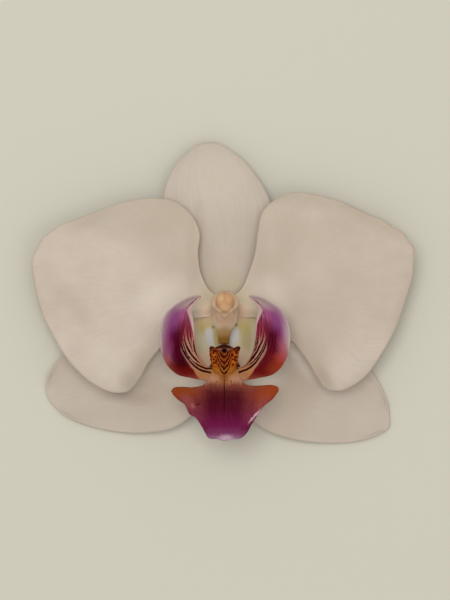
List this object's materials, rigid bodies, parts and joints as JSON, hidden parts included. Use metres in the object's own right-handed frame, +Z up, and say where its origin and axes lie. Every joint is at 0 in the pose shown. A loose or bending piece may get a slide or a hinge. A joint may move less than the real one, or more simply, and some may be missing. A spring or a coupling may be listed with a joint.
{
  "type": "orchid flower",
  "caption": "Moth orchid flower laid on its back, face up, with broad white petals over white sepals, a purple lobed lip, a column with its cap, and a short bent stalk.",
  "frame": {"origin": "on the surface that the flower lies on, under the centre of its outline", "axes": "+Z up, out of the face of the flower; +Y towards the tip of the top sepal; +X to the right as the flower is seen from the front"},
  "size_m": [0.0996, 0.0793, 0.0215],
  "materials": {
    "sepal_white": "matte, fleshy",
    "petal_white": "matte, fleshy",
    "lip_purple": "waxy",
    "column_cream": "waxy",
    "cap_peach": "waxy",
    "pollen_yellow": "waxy",
    "stem_green": "waxy"
  },
  "bodies": {
    "root": {"dorsal_sepal": "sepal_white", "lateral_sepal_left": "sepal_white", "lateral_sepal_right": "sepal_white", "petal_left": "petal_white", "petal_right": "petal_white", "lip": "lip_purple", "column": "column_cream", "anther_cap": "cap_peach", "pollinarium": "pollen_yellow", "pedicel": "stem_green"}
  },
  "joints": []
}
